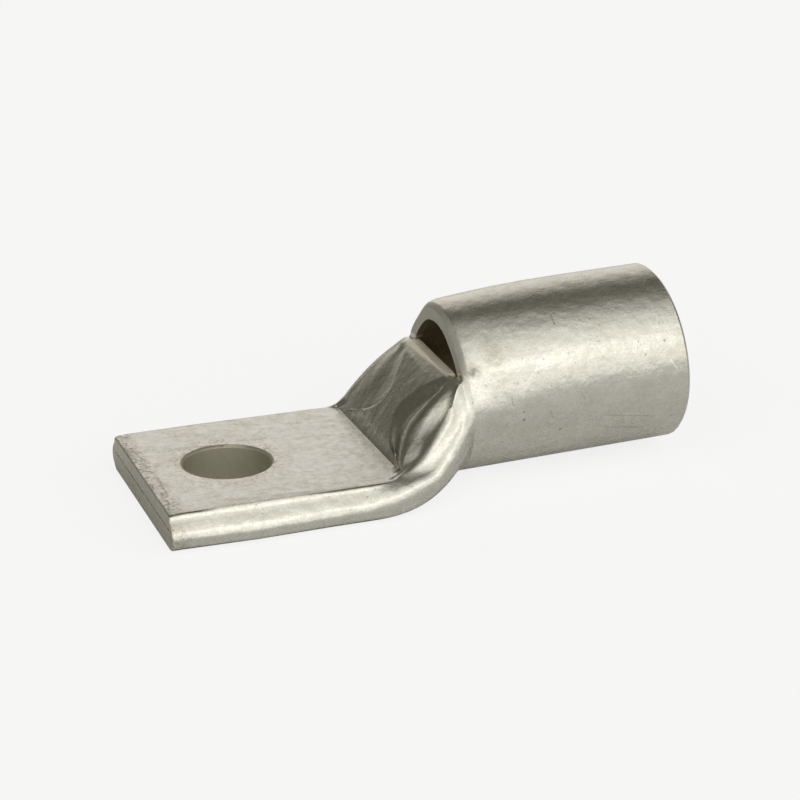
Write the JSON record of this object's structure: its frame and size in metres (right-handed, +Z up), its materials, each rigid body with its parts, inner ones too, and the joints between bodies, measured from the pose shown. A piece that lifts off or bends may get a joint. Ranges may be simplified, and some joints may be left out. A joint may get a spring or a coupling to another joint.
{
  "type": "compression lug",
  "caption": "Long-barrel compression lug in tinned copper: a flat drilled pad for a stud, a sheared sight window, and a tube to be crimped onto a cable.",
  "frame": {"origin": "below the middle of the lug's length and width, on the plane of the pad's underside", "axes": "+X along the lug from the pad's end to the tube's mouth, +Z up, from the pad's underside to its top face"},
  "size_m": [0.086, 0.0394, 0.0289],
  "materials": {
    "tinned_copper": "warm silvery tin plating over copper, satin, lightly stained"
  },
  "bodies": {
    "root": {"compression_lug": "tinned_copper"}
  },
  "joints": []
}
